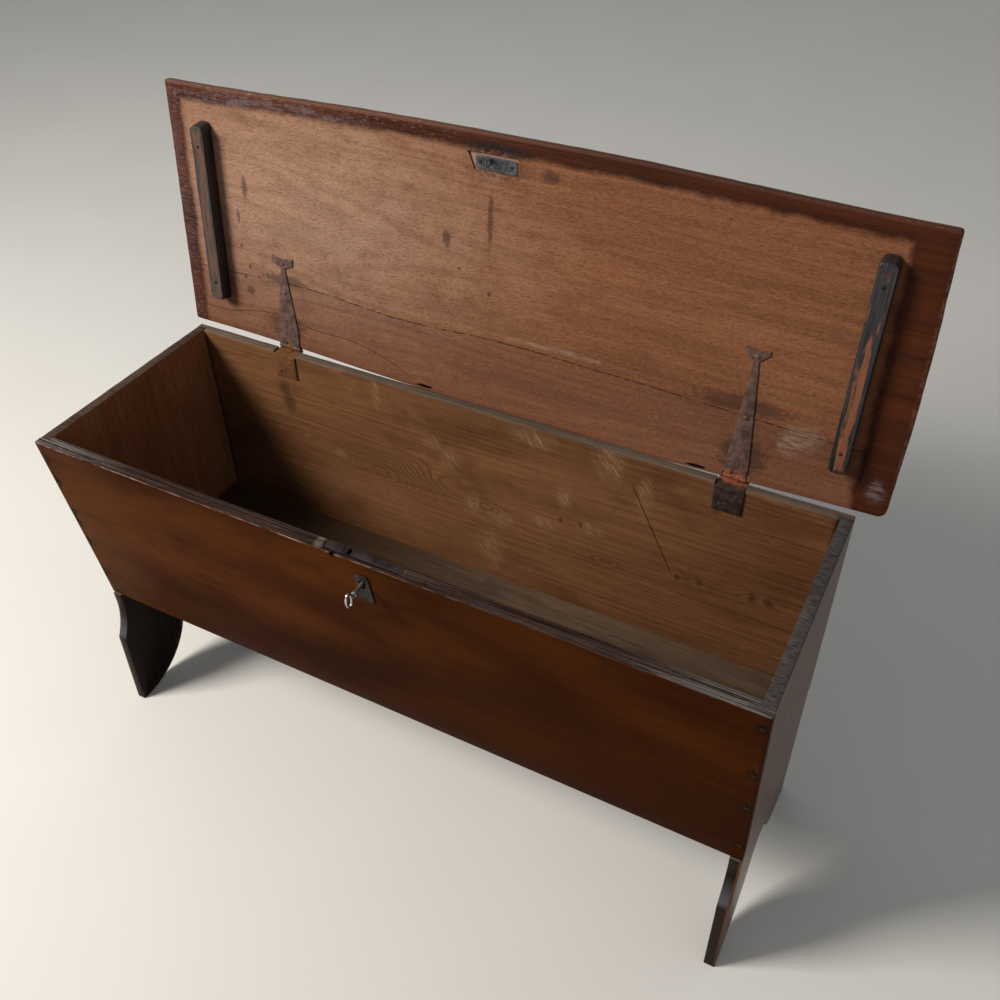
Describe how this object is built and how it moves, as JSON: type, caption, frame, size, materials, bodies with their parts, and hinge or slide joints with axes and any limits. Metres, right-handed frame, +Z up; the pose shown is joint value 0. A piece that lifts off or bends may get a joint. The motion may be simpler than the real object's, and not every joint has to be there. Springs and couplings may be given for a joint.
{
  "type": "six-plank chest",
  "caption": "Boarded oak storage chest with boot-jack plank ends, a leaning nailed front, a lid on strap hinges and a let-in chest lock with its key.",
  "frame": {"origin": "on the floor under the middle of the box around the chest with its lid open", "axes": "+X along the chest to the right as seen from the front, +Y from the front to the back, +Z up"},
  "size_m": [1.095, 0.4468, 0.9478],
  "materials": {
    "varnished_oak": "dark red-brown varnish, worn",
    "aged_oak": "bare aged oak, matt",
    "forged_iron": "forged, browned with rust",
    "worn_steel": "filed and worn bright"
  },
  "bodies": {
    "case": {"back_board": "aged_oak", "bottom_board": "aged_oak", "drill_pin": "forged_iron", "escutcheon": "forged_iron", "escutcheon_pin_1": "forged_iron", "escutcheon_pin_2": "forged_iron", "front_board": "varnished_oak", "left_back_nail_1": "forged_iron", "left_back_nail_2": "forged_iron", "left_back_nail_3": "forged_iron", "left_bolt_guide": "forged_iron", "left_end_board": "aged_oak", "left_front_nail_1": "forged_iron", "left_front_nail_2": "forged_iron", "left_front_nail_3": "forged_iron", "left_front_nail_4": "forged_iron", "left_front_nail_5": "forged_iron", "left_front_nail_6": "forged_iron", "left_hinge_leaf": "forged_iron", "left_hinge_pin": "forged_iron", "left_leaf_nail_1": "forged_iron", "left_leaf_nail_2": "forged_iron", "lock_plate": "forged_iron", "lock_plate_nail_1": "forged_iron", "lock_plate_nail_2": "forged_iron", "right_back_nail_1": "forged_iron", "right_back_nail_2": "forged_iron", "right_back_nail_3": "forged_iron", "right_bolt_guide": "forged_iron", "right_end_board": "aged_oak", "right_front_nail_1": "forged_iron", "right_front_nail_2": "forged_iron", "right_front_nail_3": "forged_iron", "right_front_nail_4": "forged_iron", "right_hinge_leaf": "forged_iron", "right_hinge_pin": "forged_iron", "right_leaf_nail_1": "forged_iron", "right_leaf_nail_2": "forged_iron"},
    "lid": {"left_batten": "aged_oak", "left_batten_nail_1": "forged_iron", "left_batten_nail_2": "forged_iron", "left_hinge_strap": "forged_iron", "left_strap_nail_1": "forged_iron", "left_strap_nail_2": "forged_iron", "left_strap_nail_3": "forged_iron", "lid_board": "aged_oak", "lid_staple": "worn_steel", "lid_staple_nail_1": "forged_iron", "lid_staple_nail_2": "forged_iron", "right_batten": "aged_oak", "right_batten_nail_1": "forged_iron", "right_batten_nail_2": "forged_iron", "right_hinge_strap": "forged_iron", "right_strap_nail_1": "forged_iron", "right_strap_nail_2": "forged_iron", "right_strap_nail_3": "forged_iron"},
    "key": {"key": "worn_steel"},
    "bolt": {"lock_bolt": "forged_iron"}
  },
  "joints": [
    {"name": "lid_hinge", "type": "hinge", "parent": "case", "child": "lid", "pos_m": [-0.0115, 0.17154, 0.5675], "axis": [1, 0, 0], "range_deg": [0, 95.7]},
    {"name": "key_turn", "type": "hinge", "parent": "case", "child": "key", "pos_m": [0.0035, -0.18507, 0.52927], "axis": [0, -0.9925, -0.1219], "range_deg": [0, 360]},
    {"name": "bolt_slide", "type": "slide", "parent": "case", "child": "bolt", "axis": [-1, 0, 0], "range_m": [0, 0.015]}
  ],
  "couplings": [
    {"joint": "bolt_slide", "follows": "key_turn", "m_per_rad": 0.002387}
  ]
}
